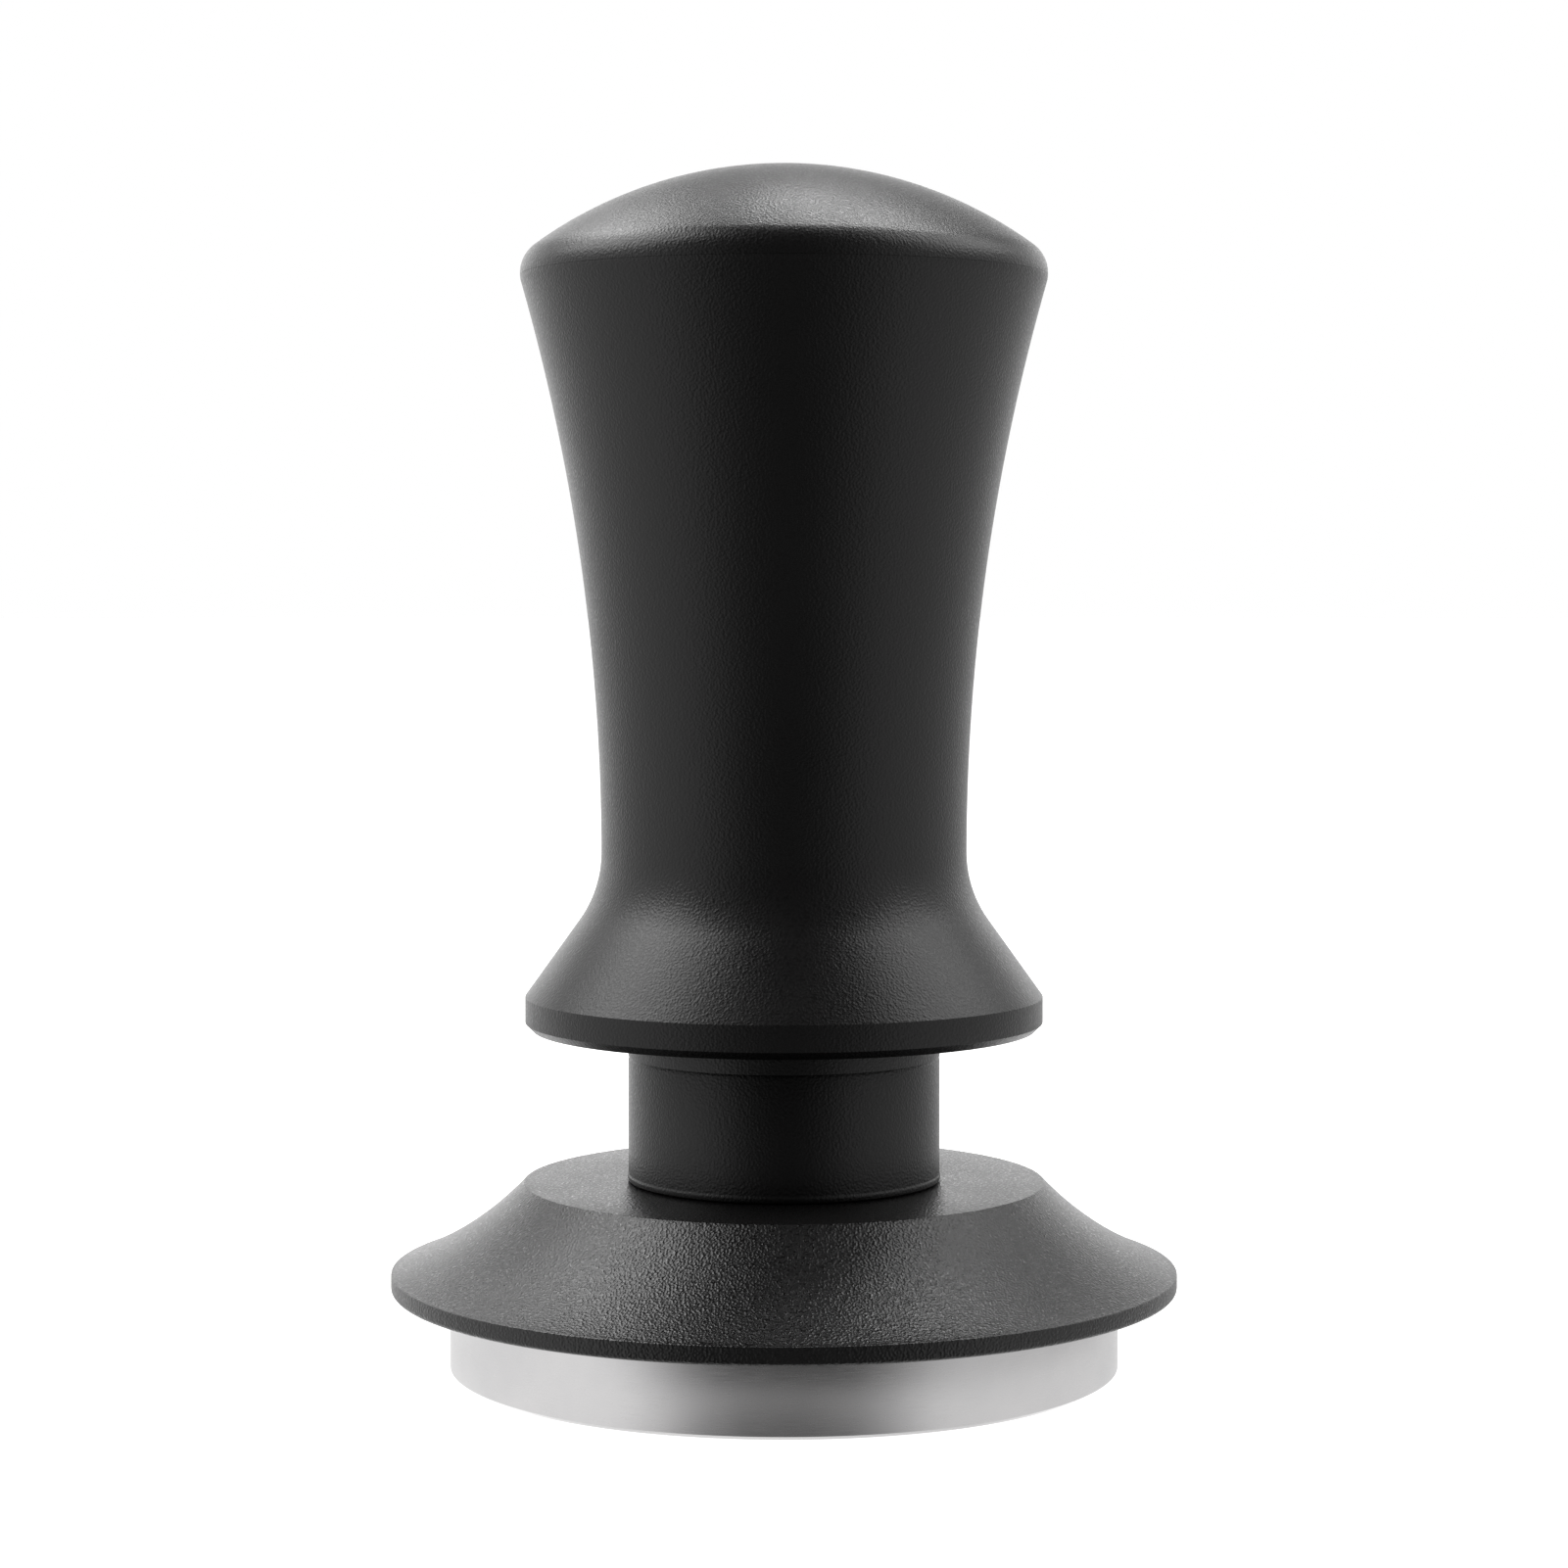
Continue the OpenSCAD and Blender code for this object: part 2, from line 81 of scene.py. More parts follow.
def radius(node):
    """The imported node's outer radius, in millimetres."""
    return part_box(node)[1].x / MM


TOTAL_H = top("top_cap")
BODY_TOP_Z = top("handle_body")
FLANGE_Z = bottom("handle_body")
SKIRT_Z = bottom("leveller_skirt")
SKIRT_TOP_Z = top("leveller_skirt")
SKIRT_R = radius("leveller_skirt")
NECK_FLOOR_Z = bottom("sleeve_bush")
NECK_TOP_Z = top("leveller_sleeve")
BASE_R = radius("tamper_base")
HUB_TOP_Z = top("tamper_base")


# ---------------------------------------------------------------- outlines


def arc(centre_r, centre_z, bend, start, end, steps):
    """Points of an arc of radius bend in the r-z plane, from one angle to the other, in degrees."""
    angles = [math.radians(start + (end - start) * i / steps) for i in range(steps + 1)]
    return [(centre_r + bend * math.cos(a), centre_z + bend * math.sin(a)) for a in angles]


def arc_between(p, q, bend, steps):
    """Points of the hollow arc from p down and out to q, whose centre lies above and outside it."""
    (pr, pz), (qr, qz) = p, q
    dr, dz = qr - pr, qz - pz
    chord = math.hypot(dr, dz)
    rise = math.sqrt(bend**2 - chord**2 / 4) / chord
    cr, cz = (pr + qr) / 2 - dz * rise, (pz + qz) / 2 + dr * rise
    start = math.degrees(math.atan2(pz - cz, pr - cr))
    end = math.degrees(math.atan2(qz - cz, qr - cr))
    return arc(cr, cz, bend, start, end, steps)


def soften(outline, steps=3):
    """The outline with a small round at each corner that is given as (r, z, radius)."""
    points = []
    for i, corner in enumerate(outline):
        here = Vector(corner[:2])
        if len(corner) == 2:
            points.append(tuple(here))
            continue
        before = (Vector(outline[i - 1][:2]) - here).normalized()
        after = (Vector(outline[(i + 1) % len(outline)][:2]) - here).normalized()
        half = before.angle(after) / 2
        middle = here + (before + after).normalized() * (corner[2] / math.sin(half))
        first = here + before * (corner[2] / math.tan(half)) - middle
        last = here + after * (corner[2] / math.tan(half)) - middle
        for k in range(steps + 1):
            spoke = first.lerp(last, k / steps).normalized() * corner[2]
            points.append(tuple(middle + spoke))
    return points


# ---------------------------------------------------------------- meshes


def finished(name, bm, sharp=SHARP_ANGLE):
    """Turns a bmesh into an object, smooth except where two faces meet at more than sharp degrees."""
    bmesh.ops.remove_doubles(bm, verts=bm.verts, dist=MERGE_DISTANCE)
    bmesh.ops.recalc_face_normals(bm, faces=bm.faces)
    for face in bm.faces:
        face.smooth = True
    for edge in bm.edges:
        if edge.is_manifold and edge.calc_face_angle() > math.radians(sharp):
            edge.smooth = False
    mesh = bpy.data.meshes.new(name)
    bm.to_mesh(mesh)
    bm.free()
    piece = bpy.data.objects.new(name, mesh)
    bpy.context.scene.collection.objects.link(piece)
    return piece


def round_point(r, turn, z):
    """Where a turned piece's point lies, in millimetres."""
    return r * math.cos(turn), r * math.sin(turn), z


def lathe(name, outline, point=round_point):
    """A closed turned solid from its outline, which may touch the axis."""
    bm = bmesh.new()
    rings = []
    for r, z in outline:
        count = SEGMENTS if r > TINY else 1
        turns = [2 * math.pi * k / SEGMENTS for k in range(count)]
        rings.append([bm.verts.new(Vector(point(r, turn, z)) * MM) for turn in turns])
    for lower, upper in zip(rings, rings[1:] + rings[:1]):
        if len(lower) == 1 and len(upper) == 1:
            continue
        for k in range(SEGMENTS):
            n = (k + 1) % SEGMENTS
            corners = [lower[k % len(lower)], lower[n % len(lower)]]
            corners += [upper[n % len(upper)], upper[k % len(upper)]]
            bm.faces.new(list(dict.fromkeys(corners)))  # three corners where a ring is one point
    return finished(name, bm)


GROUND_RISE = 0.2  # of a coil's first wire centre over its ground end, in wire radii
CLOSED_RISE = 2.08  # of a coil's closed end turn, in wire radii


def coil(name, mean_r, wire_r, turns, low, high):
    """A compression spring from height low to high, with closed ends that are ground flat."""
    start, closed = GROUND_RISE * wire_r, CLOSED_RISE * wire_r
    ends = start + closed
    bm = bmesh.new()
    rings = []
    for i in range(turns * COIL_STEPS + 1):
        t = i / COIL_STEPS
        if t <= 1:
            centre = low + start + closed * t
        elif t >= turns - 1:
            centre = high - start - closed * (turns - t)
        else:
            centre = low + ends + (high - low - 2 * ends) * (t - 1) / (turns - 2)
        ring = []
        for j in range(COIL_SIDES):
            a = 2 * math.pi * (j + 0.5) / COIL_SIDES
            r = mean_r + wire_r * math.cos(a)
            z = min(max(centre + wire_r * math.sin(a), low), high)
            turn = 2 * math.pi * t
            ring.append(bm.verts.new((r * math.cos(turn) * MM, r * math.sin(turn) * MM, z * MM)))
        rings.append(ring)
    for a, b in zip(rings, rings[1:]):
        for j in range(COIL_SIDES):
            k = (j + 1) % COIL_SIDES
            bm.faces.new([a[j], a[k], b[k], b[j]])
    bm.faces.new(rings[0])
    bm.faces.new(rings[-1])
    return finished(name, bm, SHARP_COIL_ANGLE)


def place(piece, node, body, material):
    """The piece stands for its CAD node, rides on that node's body and takes its material."""
    piece.data.materials.clear()
    piece.data.materials.append(material)
    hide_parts(node)
    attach(piece, body)


# ---------------------------------------------------------------- materials


class Nodes:
    """Short calls for a material's node tree."""

    def __init__(self, name):
        self.material = bpy.data.materials.new(name)
        self.material.use_nodes = True
        self.tree = self.material.node_tree
        self.shader = self.tree.nodes["Principled BSDF"]
        self.place = self.tree.nodes.new("ShaderNodeTexCoord").outputs["Object"]

    def add(self, kind, **settings):
        node = self.tree.nodes.new(kind)
        for key, value in settings.items():
            setattr(node, key, value)
        return node

    def link(self, output, socket):
        self.tree.links.new(output, socket)

    def noise(self, scale, detail=2.0, roughness=0.5, vector=None):
        """Noise whose scale is in cells per millimetre."""
        node = self.add("ShaderNodeTexNoise")
        node.inputs["Scale"].default_value = scale / MM
        node.inputs["Detail"].default_value = detail
        node.inputs["Roughness"].default_value = roughness
        self.link(vector or self.place, node.inputs["Vector"])
        return node.outputs["Fac"]

    def spread(self, value, low, high, new_low, new_high):
        """Maps low..high to new_low..new_high, without running past either."""
        node = self.add("ShaderNodeMapRange")
        for socket, number in zip(node.inputs[1:5], (low, high, new_low, new_high)):
            socket.default_value = number
        self.link(value, node.inputs["Value"])
        return node.outputs["Result"]

    def maths(self, operation, a, b=None):
        """The result of a maths node on sockets or plain numbers."""
        node = self.add("ShaderNodeMath", operation=operation)
        for socket, value in zip(node.inputs, (a, b)):
            if isinstance(value, (int, float)):
                socket.default_value = value
            elif value is not None:
                self.link(value, socket)
        return node.outputs["Value"]

    def mix(self, share, first, second):
        """The first colour where share is 0, the second where it is 1."""
        node = self.add("ShaderNodeMix", data_type="RGBA")
        node.inputs["A"].default_value = (*first, 1)
        node.inputs["B"].default_value = (*second, 1)
        self.link(share, node.inputs["Factor"])
        return node.outputs["Result"]

    def bump(self, height, depth):
        """Bump whose full height is depth millimetres."""
        node = self.add("ShaderNodeBump")
        node.inputs["Distance"].default_value = depth * MM
        self.link(height, node.inputs["Height"])
        return node.outputs["Normal"]

    def set(self, **values):
        """Links or sets the shader's sockets, named with underscores."""
        for key, value in values.items():
            socket = self.shader.inputs[key.replace("_", " ")]
            if isinstance(value, bpy.types.NodeSocket):
                self.link(value, socket)
            else:
                socket.default_value = value


DEEP_DYE = (0.0022, 0.0020, 0.0021)
FADED_DYE = (0.0034, 0.0031, 0.0032)
METRES_PER_RADIAN = 0.0008  # in the noise of turned metal: so small that its lines run round


def anodised(name, grain, depth, sparkle, ior):
    """Black anodised aluminium, bead-blasted.

    The grain is in cells per millimetre and depth deep. Its peaks are smoother by sparkle.
    """
    n = Nodes(name)
    blast = n.noise(grain, 0.0)
    cloud = n.noise(0.05, 3.0, 0.6)
    dye = n.mix(n.spread(cloud, 0.35, 0.65, 0, 1), DEEP_DYE, FADED_DYE)
    glint = n.spread(blast, 0.5, 0.78, 0, sparkle)
    rough = n.maths("SUBTRACT", n.spread(cloud, 0.3, 0.7, 0.37, 0.43), glint)
    n.set(Base_Color=dye, Roughness=rough, IOR=ior, Normal=n.bump(blast, depth))
    return n.material


def turned_metal(name, light, dark, roughness, ring, depth, anisotropy=0.0):
    """Turned metal: fine lines run round the axis, ring lines to the millimetre."""
    n = Nodes(name)
    split = n.add("ShaderNodeSeparateXYZ")
    n.link(n.place, split.inputs[0])
    x, y, z = split.outputs
    off_axis = n.maths("SQRT", n.maths("ADD", n.maths("MULTIPLY", x, x), n.maths("MULTIPLY", y, y)))
    across = n.add("ShaderNodeCombineXYZ")
    n.link(n.maths("ADD", off_axis, z), across.inputs["X"])
    n.link(n.maths("MULTIPLY", n.maths("ARCTAN2", y, x), METRES_PER_RADIAN), across.inputs["Y"])
    lines = n.noise(ring, 3.0, 0.7, across.outputs[0])
    cloud = n.noise(0.12, 3.0, 0.6)
    shade = n.maths("MULTIPLY", n.spread(cloud, 0.3, 0.7, 0.2, 1), n.spread(lines, 0.3, 0.7, 0.5, 1))
    colour = n.mix(shade, dark, light)
    rough = n.spread(lines, 0.3, 0.7, roughness * 0.8, roughness * 1.2)
    n.set(Base_Color=colour, Metallic=1.0, Roughness=rough, Normal=n.bump(lines, depth))
    if anisotropy:
        tangent = n.add("ShaderNodeTangent", direction_type="RADIAL", axis="Z")
        n.set(Anisotropic=anisotropy, Tangent=tangent.outputs[0])
    return n.material


def plastic(name, light, dark, roughness, depth):
    """Plain machined plastic or moulded rubber, with a faint cloud and a fine grain."""
    n = Nodes(name)
    cloud = n.noise(0.2, 3.0, 0.6)
    grain = n.noise(6.0, 2.0, 0.6)
    colour = n.mix(n.spread(cloud, 0.3, 0.7, 0, 1), dark, light)
    rough = n.spread(grain, 0.3, 0.7, roughness - 0.06, roughness + 0.06)
    n.set(Base_Color=colour, Roughness=rough, Normal=n.bump(grain, depth))
    return n.material


handle_black = anodised("handle_black_anodised", 4.8, 0.032, 0.10, 1.36)
skirt_black = anodised("skirt_black_anodised", 4.8, 0.062, 0.16, 1.42)
stainless = turned_metal(
    "turned_stainless", (0.58, 0.57, 0.57), (0.50, 0.495, 0.50), 0.24, 14.0, 0.0012, 0.55
)
machined = turned_metal(
    "machined_steel", (0.60, 0.60, 0.61), (0.46, 0.46, 0.47), 0.26, 9.0, 0.002, 0.4
)
wire_steel = turned_metal("spring_steel", (0.34, 0.35, 0.38), (0.24, 0.25, 0.28), 0.32, 12.0, 0.002)
bronze = turned_metal("bearing_bronze", (0.62, 0.42, 0.21), (0.45, 0.29, 0.13), 0.34, 9.0, 0.002)
acetal = plastic("white_acetal", (0.82, 0.80, 0.74), (0.74, 0.72, 0.66), 0.42, 0.004)
rubber = plastic("black_rubber", (0.035, 0.035, 0.035), (0.022, 0.022, 0.022), 0.72, 0.008)

BY_SLOT = {
    "black_anodised": handle_black,
    "turned_stainless": stainless,
    "machined_steel": machined,
    "spring_steel": wire_steel,
    "bronze": bronze,
    "acetal": acetal,
    "rubber": rubber,
}
for part in frame["record"]["subparts"]:
    mesh = frame["nodes"][part["node"]].data
    mesh.materials.clear()
    mesh.materials.append(BY_SLOT[part["material_slot"]])


# ---------------------------------------------------------------- handle

DOME_R = 36.85
BROW_R = 2.9
BROW_CENTRE_R = 20.08
FLARE_R = 181.5
WAIST_R = 15.97
WAIST_FILLET_R = 10.3
CONE_ANGLE = 35.7
FLANGE_R = 22.625
FLANGE_EDGE = 0.65
SEAM_DROP = 0.18
SEAM_GROOVE_ANGLE = 0.7
SEAM_GROOVE_DEPTH = 0.03
COLLAR_R = 17.0
COLLAR_GAP = 0.05
CAP_BORE_GAP = 0.3
PRELOAD_R = 14.2
CAP_POCKET_R = 8.0
CAP_WALL = 3.0
CAP_BORE_TOP_Z = BODY_TOP_Z + CAP_BORE_GAP

dome_z = TOTAL_H - DOME_R
brow_z = dome_z + math.sqrt((DOME_R - BROW_R) ** 2 - BROW_CENTRE_R**2)
brow_angle = math.degrees(math.atan2(brow_z - dome_z, BROW_CENTRE_R))
seam_z = brow_z - SEAM_DROP
seam_angle = math.degrees(math.asin(SEAM_DROP / BROW_R))
seam_r = BROW_CENTRE_R + BROW_R - SEAM_GROOVE_DEPTH
flare_centre_r = WAIST_R + FLARE_R
flare_run = flare_centre_r - BROW_CENTRE_R
flare_rise = math.sqrt((FLARE_R + BROW_R) ** 2 - flare_run**2)
flare_angle = math.degrees(math.atan2(flare_rise, flare_run))
waist_z = brow_z - flare_rise
fillet_centre_r = WAIST_R + WAIST_FILLET_R
cone_r = fillet_centre_r - WAIST_FILLET_R * math.cos(math.radians(CONE_ANGLE))
cone_z = waist_z - WAIST_FILLET_R * math.sin(math.radians(CONE_ANGLE))
flange_top = cone_z - (FLANGE_R - cone_r) / math.tan(math.radians(CONE_ANGLE))

cap = lathe(
    "domed_cap",
    soften(
        [(0, TOTAL_H - CAP_WALL)]
        + arc(0, dome_z, DOME_R, 90, brow_angle, 40)
        + arc(BROW_CENTRE_R, brow_z, BROW_R, brow_angle, SEAM_GROOVE_ANGLE - seam_angle, 14)[1:]
        + [
            (seam_r, seam_z),
            (COLLAR_R + COLLAR_GAP, seam_z, 0.15),
            (COLLAR_R + COLLAR_GAP, CAP_BORE_TOP_Z),
            (PRELOAD_R, CAP_BORE_TOP_Z, 0.2),
            (CAP_POCKET_R, TOTAL_H - CAP_WALL),
        ]
    ),
)
place(cap, "top_cap", "handle", handle_black)

O_RING_GROOVE_INNER_R = 18.8
O_RING_GROOVE_OUTER_R = 20.8
O_RING_GROOVE_DEPTH = 1.6
WIPER_Z = bottom("wiper_ring")
WIPER_TOP_Z = top("wiper_ring")
WIPER_R = radius("wiper_ring")
GLIDE_Z = bottom("neck_glide_ring")
GLIDE_TOP_Z = top("neck_glide_ring")
GLIDE_R = radius("neck_glide_ring")
MOUTH_R = 14.0
WEB_BORE_R = 6.5
WEB_H = 3.5
WEB_Z = top("shaft_guide_bush") - WEB_H
WEB_TOP_Z = WEB_Z + WEB_H
CHAMBER_R = 13.0
THREAD_RUNOUT = 1.8  # of the preload screw's thread, below the screw
CHAMBER_TOP_Z = bottom("preload_screw") - THREAD_RUNOUT
KEYWAY_W = 3.2
KEYWAY_R = 14.1
KEYWAY_PLAY = 0.3  # below the cross pin
KEYWAY_Z = bottom("cross_pin") - KEYWAY_PLAY
KEYWAY_FLOOR = 0.02  # rise of the keyway's end, which is a step in the outline
KEYWAY_STEPS = 4  # the keyway's half width, in segments of the turned handle

body_outline = (
    [
        (PRELOAD_R, BODY_TOP_Z, 0.2),
        (COLLAR_R, BODY_TOP_Z, 0.3),
        (COLLAR_R, seam_z),
        (O_RING_GROOVE_INNER_R, seam_z, 0.1),
        (O_RING_GROOVE_INNER_R, seam_z - O_RING_GROOVE_DEPTH, 0.2),
        (O_RING_GROOVE_OUTER_R, seam_z - O_RING_GROOVE_DEPTH, 0.2),
        (O_RING_GROOVE_OUTER_R, seam_z, 0.1),
    ]
    + arc(BROW_CENTRE_R, brow_z, BROW_R, -seam_angle, -flare_angle, 5)
    + arc(flare_centre_r, waist_z, FLARE_R, 180 - flare_angle, 180, 64)[1:]
    + arc(fillet_centre_r, waist_z, WAIST_FILLET_R, 180, 180 + CONE_ANGLE, 20)[1:]
    + [
        (FLANGE_R, flange_top, 0.06),
        (FLANGE_R, FLANGE_Z + FLANGE_EDGE, 0.04),
        (FLANGE_R - FLANGE_EDGE, FLANGE_Z, 0.04),
        (MOUTH_R, FLANGE_Z, 0.06),
        (MOUTH_R, WIPER_Z),
        (WIPER_R, WIPER_Z),
        (WIPER_R, WIPER_TOP_Z),
        (MOUTH_R, WIPER_TOP_Z),
        (MOUTH_R, GLIDE_Z),
        (GLIDE_R, GLIDE_Z),
        (GLIDE_R, GLIDE_TOP_Z),
        (MOUTH_R, GLIDE_TOP_Z),
        (MOUTH_R, WEB_Z, 0.5),
        (WEB_BORE_R, WEB_Z, 0.1),
        (WEB_BORE_R, WEB_TOP_Z, 0.1),
        (CHAMBER_R, WEB_TOP_Z, 0.4),
        (CHAMBER_R, KEYWAY_Z),
        (CHAMBER_R, KEYWAY_Z + KEYWAY_FLOOR),
        (CHAMBER_R, CHAMBER_TOP_Z),
        (PRELOAD_R, CHAMBER_TOP_Z),
    ]
)


def keyed_point(r, turn, z):
    """As round_point, but the chamber's points beside the X axis move out to the two keyways."""
    x, y, z = round_point(r, turn, z)
    step = round(math.asin(abs(y) / r) / (2 * math.pi / SEGMENTS))
    if abs(r - CHAMBER_R) > TINY or z <= KEYWAY_Z or step > KEYWAY_STEPS + 1:
        return x, y, z
    if step >= KEYWAY_STEPS:
        y = math.copysign(KEYWAY_W / 2, y)
    reach = CHAMBER_R if step > KEYWAY_STEPS else KEYWAY_R
    return math.copysign(math.sqrt(reach**2 - y**2), x), y, z


body = lathe("waisted_handle", soften(body_outline), keyed_point)
place(body, "handle_body", "handle", handle_black)

# ---------------------------------------------------------------- leveller

RIM_H = 1.6
RIM_TOP_ROUND = 0.15
RIM_BOTTOM_ROUND = 0.4
FLAT_R = 22.75
COVE_R = 30.5
RECESS_GAP = 0.425  # round the base
RECESS_R = BASE_R + RECESS_GAP
RECESS_H = 2.3
RECESS_TOP_Z = SKIRT_Z + RECESS_H
SKIRT_PLATE = 3.0
SPIGOT_R = 12.6
plate_z = SKIRT_TOP_Z - SKIRT_PLATE
rim_corner = (SKIRT_R - RIM_TOP_ROUND, SKIRT_Z + RIM_H)

cove = arc_between((FLAT_R, SKIRT_TOP_Z), rim_corner, COVE_R, 32)
skirt = lathe(
    "levelling_skirt",
    soften(
        [(SPIGOT_R, SKIRT_TOP_Z, 0.05), (FLAT_R, SKIRT_TOP_Z, 0.1)]
        + cove[1:]
        + arc(rim_corner[0], rim_corner[1] - RIM_TOP_ROUND, RIM_TOP_ROUND, 90, 0, 6)[1:]
        + arc(SKIRT_R - RIM_BOTTOM_ROUND, SKIRT_Z + RIM_BOTTOM_ROUND, RIM_BOTTOM_ROUND, 0, -90, 6)
        + [
            (RECESS_R, SKIRT_Z, 0.2),
            (RECESS_R, RECESS_TOP_Z, 0.3),
            (FLAT_R, plate_z, 0.3),
            (SPIGOT_R, plate_z, 0.05),
        ]
    ),
)
place(skirt, "leveller_skirt", "leveller", skirt_black)

NECK_R = 13.625
NECK_WALL = 1.6
NECK_EDGE = 0.3
NECK_FLOOR_RISE = 2.4  # of the floor's top over the skirt's
NECK_FLOOR_TOP_Z = SKIRT_TOP_Z + NECK_FLOOR_RISE
FOOT_H = 0.55
FOOT_PROUD = 0.06
FOOT_EDGE = 0.35
GROOVE_Z = 27.1
GROOVE_W = 0.28
GROOVE_DEPTH = 0.1
SPIGOT_BORE_R = 10.4
RING_NUT_Z = bottom("leveller_ring_nut")
foot_r = NECK_R + FOOT_PROUD

neck = lathe(
    "sliding_neck",
    soften(
        [
            (WEB_BORE_R, NECK_FLOOR_Z, 0.15),
            (SPIGOT_BORE_R, NECK_FLOOR_Z),
            (SPIGOT_BORE_R, RING_NUT_Z, 0.2),
            (SPIGOT_R, RING_NUT_Z, 0.2),
            (SPIGOT_R, SKIRT_TOP_Z),
            (foot_r, SKIRT_TOP_Z, FOOT_EDGE),
            (foot_r, SKIRT_TOP_Z + FOOT_H, 0.3),
            (NECK_R, SKIRT_TOP_Z + FOOT_H + 3 * FOOT_PROUD, 0.3),
            (NECK_R, GROOVE_Z - GROOVE_W),
            (NECK_R - GROOVE_DEPTH, GROOVE_Z),
            (NECK_R, GROOVE_Z + GROOVE_DEPTH / 2),
            (NECK_R, NECK_TOP_Z, NECK_EDGE),
            (NECK_R - NECK_WALL, NECK_TOP_Z, NECK_EDGE),
            (NECK_R - NECK_WALL, NECK_FLOOR_TOP_Z, 0.4),
            (WEB_BORE_R, NECK_FLOOR_TOP_Z, 0.15),
        ]
    ),
)
place(neck, "leveller_sleeve", "leveller", handle_black)

# ---------------------------------------------------------------- base

BASE_BAND_H = 6.8
BASE_EDGE = 0.3
BASE_H = 8.8
BASE_STEP_R = 28.4
HUB_R = 9.0
TAPPED_R = 4.0
TAPPED_DEPTH = 8.0

base = lathe(
    "steel_base",
    soften(
        [
            (0, 0),
            (BASE_R - BASE_EDGE, 0, 0.05),
            (BASE_R, BASE_EDGE, 0.05),
            (BASE_R, BASE_BAND_H, 0.08),
            (BASE_STEP_R, BASE_BAND_H),
            (BASE_STEP_R, BASE_H, 0.4),
            (HUB_R, BASE_H, 0.4),
            (HUB_R, HUB_TOP_Z, 0.3),
            (TAPPED_R, HUB_TOP_Z, 0.02),
            (TAPPED_R, HUB_TOP_Z - TAPPED_DEPTH),
            (0, HUB_TOP_Z - TAPPED_DEPTH),
        ]
    ),
)
place(base, "tamper_base", "base_stem", stainless)

# ---------------------------------------------------------------- springs

MAIN_MEAN_R, MAIN_WIRE_R, MAIN_TURNS = 10.5, 1.3, 8
RETURN_MEAN_R, RETURN_WIRE_R, RETURN_TURNS = 7.7, 0.45, 8
main_z, main_top_z = bottom("main_spring"), top("main_spring")
return_z, return_top_z = bottom("return_spring"), top("return_spring")

main_spring = coil("load_spring", MAIN_MEAN_R, MAIN_WIRE_R, MAIN_TURNS, main_z, main_top_z)
place(main_spring, "main_spring", "base_stem", wire_steel)
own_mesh(main_spring)

return_spring = coil(
    "leveller_return_spring", RETURN_MEAN_R, RETURN_WIRE_R, RETURN_TURNS, return_z, return_top_z
)
place(return_spring, "return_spring", "base_stem", wire_steel)
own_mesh(return_spring)


# ---------------------------------------------------------------- floor, light and camera

FLOOR_R = 6.0  # in metres
FLOOR_SIDES = 96
FLOOR_DROP = 0.02  # of the floor below the object, in millimetres
FLOOR_GLOW = 0.95
SOFTBOX_DISTANCE = 0.6  # in metres, from the middle of the object
SOFTBOX_POWER = 4.0  # in watts per square metre, for a radiance of 1

# Name, direction from the object, width and height in metres, radiance
SOFTBOXES = (
    ("left_softbox", (-0.68, 0.04, 0.70), 0.46, 0.46, 5.0),
    ("rear_left_softbox", (-0.44, 0.49, 0.80), 0.30, 0.20, 5.8),
    ("rear_softbox", (0.19, 0.415, 0.89), 0.34, 0.12, 12.2),
    ("right_softbox", (0.70, 0.08, 0.68), 0.46, 0.42, 3.2),
)

CAMERA_DISTANCE = 322.49  # in front of the axis, in millimetres
CAMERA_H = 68.92  # in millimetres
CAMERA_TILT = 1.254  # of the view, below the horizon, in degrees
CAMERA_SHIFT = -0.08  # of the view upwards, in widths of the picture
LENS = 84.72  # in millimetres
CLIP_START = 0.01  # in metres


def floor():
    """A plain pale floor that no reflection sees."""
    bm = bmesh.new()
    bmesh.ops.create_circle(bm, cap_ends=True, segments=FLOOR_SIDES, radius=FLOOR_R)
    plane = finished("floor", bm)
    plane.location.z = -FLOOR_DROP * MM
    n = Nodes("pale_floor")
    cloud = n.noise(0.01, 2.0, 0.5)
    n.set(Base_Color=n.mix(cloud, (0.5, 0.5, 0.5), (0.52, 0.52, 0.52)), Roughness=0.9)
    n.set(Emission_Color=(1, 1, 1, 1), Emission_Strength=FLOOR_GLOW)
    plane.data.materials.append(n.material)
    plane.visible_glossy = False
    plane.visible_diffuse = False


def softbox(name, direction, width, height, radiance):
    """A soft rectangular light that faces the middle of the object."""
    light = bpy.data.lights.new(name, "AREA")
    light.shape = "RECTANGLE"
    light.size = width
    light.size_y = height
    light.energy = SOFTBOX_POWER * radiance * width * height
    lamp = bpy.data.objects.new(name, light)
    bpy.context.scene.collection.objects.link(lamp)
    aim = Vector((0, 0, TOTAL_H * MM / 2))
    away = Vector(direction).normalized()
    lamp.location = aim + away * SOFTBOX_DISTANCE
    lamp.rotation_euler = away.to_track_quat("Z", "Y").to_euler()
    lamp.visible_camera = False


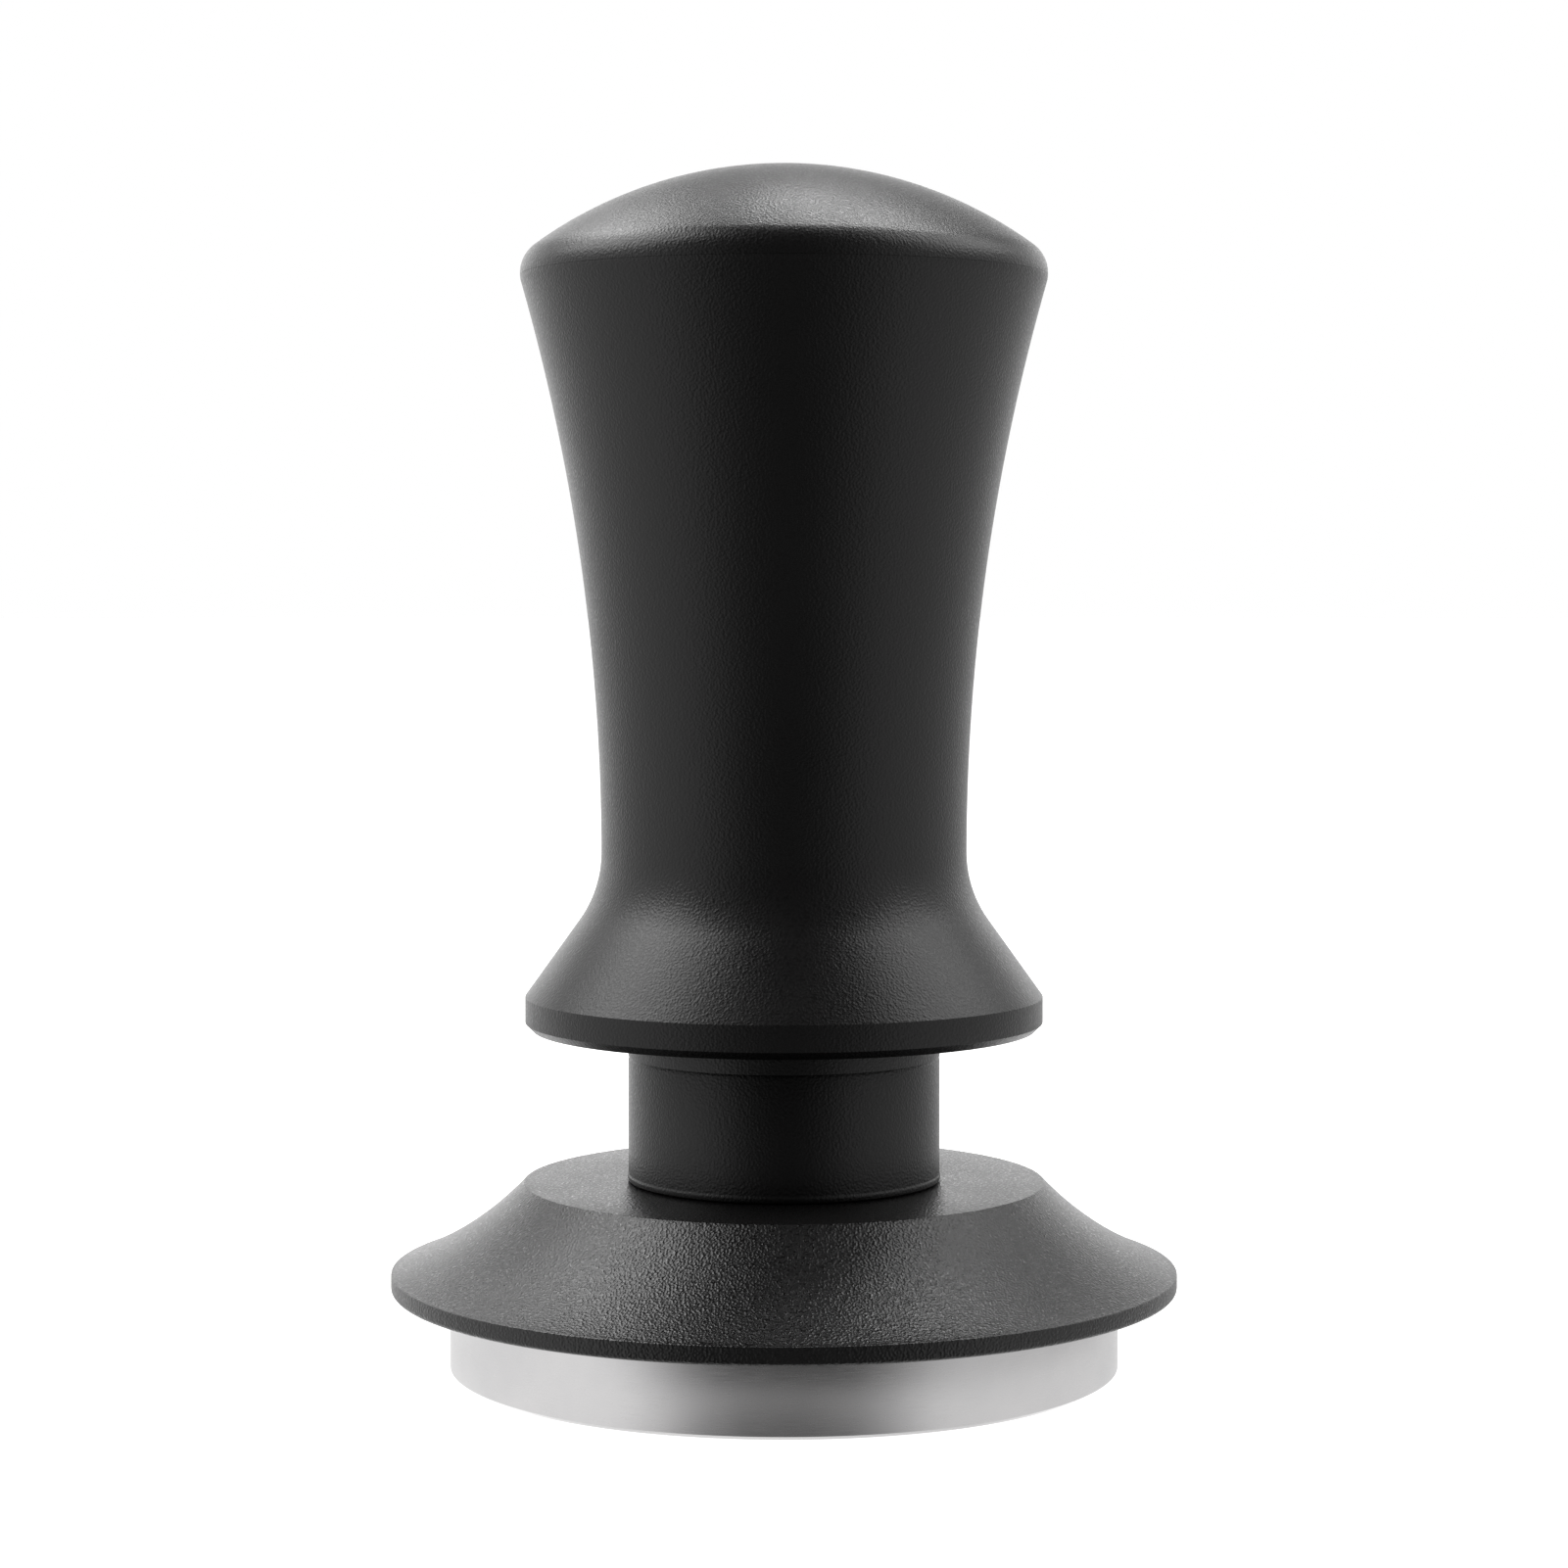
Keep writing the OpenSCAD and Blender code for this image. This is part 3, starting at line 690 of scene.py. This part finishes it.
def surroundings():
    """White for the camera; for the object, a pale tent, dim in front and overhead."""
    world = bpy.data.worlds.new("studio")
    bpy.context.scene.world = world
    world.use_nodes = True
    tree = world.node_tree
    tree.nodes.clear()

    def add(kind, *inputs, **settings):
        node = tree.nodes.new(kind)
        for key, value in settings.items():
            setattr(node, key, value)
        for socket, value in zip(node.inputs, inputs):
            if isinstance(value, bpy.types.NodeSocket):
                tree.links.new(value, socket)
            elif value is not None:
                socket.default_value = value
        return node

    def ramp(value, low, high, new_low, new_high):
        ends = (low, high, new_low, new_high)
        node = add("ShaderNodeMapRange", value, *ends, interpolation_type="SMOOTHSTEP")
        return node.outputs["Result"]

    def maths(operation, a, b):
        return add("ShaderNodeMath", a, b, operation=operation).outputs["Value"]

    # The direction that is looked at: x to the right, y to the back, z up, each from -1 to 1
    x, y, z = add("ShaderNodeSeparateXYZ", add("ShaderNodeTexCoord").outputs["Generated"]).outputs

    # The right side is dimmer than the left, most of all just below the horizon
    right_level = maths("ADD", ramp(z, -0.2, -0.1, 0.85, 0.62), ramp(z, -0.05, 0.2, 0.0, 0.33))
    side = ramp(x, -0.3, 0.6, 1.0, right_level)

    # The front is open and dark, with a paler band below the horizon; lower down it is wider
    below = maths("MULTIPLY", maths("MINIMUM", maths("ADD", z, 0.25), 0.0), 0.9)
    toward = maths("ADD", maths("ADD", y, below), ramp(z, -0.22, -0.05, 0.07, 0.0))
    front_level = maths("MULTIPLY", ramp(z, -0.175, -0.08, 0.30, 0.09), ramp(z, -0.24, -0.17, 0.45, 1.0))
    open_front = ramp(toward, -0.97, -0.5, front_level, 1.0)

    # The rear glows, with a dimmer band between the lit table and the horizon
    table = ramp(z, -0.32, -0.24, 1.1, 0.0)
    rear_level = maths("ADD", table, ramp(z, -0.2, -0.05, 0.9, 1.5))
    rear_level = maths("ADD", rear_level, ramp(z, 0.0, 0.15, 0.0, 0.5))
    rear_glow = ramp(y, 0.5, 0.95, 1.0, rear_level)

    # The walls fade upwards to a dim, open top
    wall = ramp(z, 0.15, 0.6, 1.25, 0.3)
    open_top = ramp(z, 0.5, 0.9, 1.0, 0.15)

    tent = 1.0
    for factor in (side, open_front, rear_glow, wall, open_top):
        tent = maths("MULTIPLY", factor, tent)
    tent_light = add("ShaderNodeBackground", (1, 1, 1, 1), tent)
    white = add("ShaderNodeBackground", (1, 1, 1, 1), 1.0)
    camera_ray = add("ShaderNodeLightPath").outputs["Is Camera Ray"]
    both = add("ShaderNodeMixShader", camera_ray, tent_light.outputs[0], white.outputs[0])
    add("ShaderNodeOutputWorld", both.outputs[0])


floor()
surroundings()
for box in SOFTBOXES:
    softbox(*box)

camera = bpy.data.objects.new("camera", bpy.data.cameras.new("camera"))
bpy.context.scene.collection.objects.link(camera)
camera.location = (0, -CAMERA_DISTANCE * MM, CAMERA_H * MM)
camera.rotation_euler = (math.radians(90 - CAMERA_TILT), 0, 0)
camera.data.lens = LENS
camera.data.shift_y = CAMERA_SHIFT
camera.data.clip_start = CLIP_START
bpy.context.scene.camera = camera
bpy.context.scene.view_settings.view_transform = "Standard"
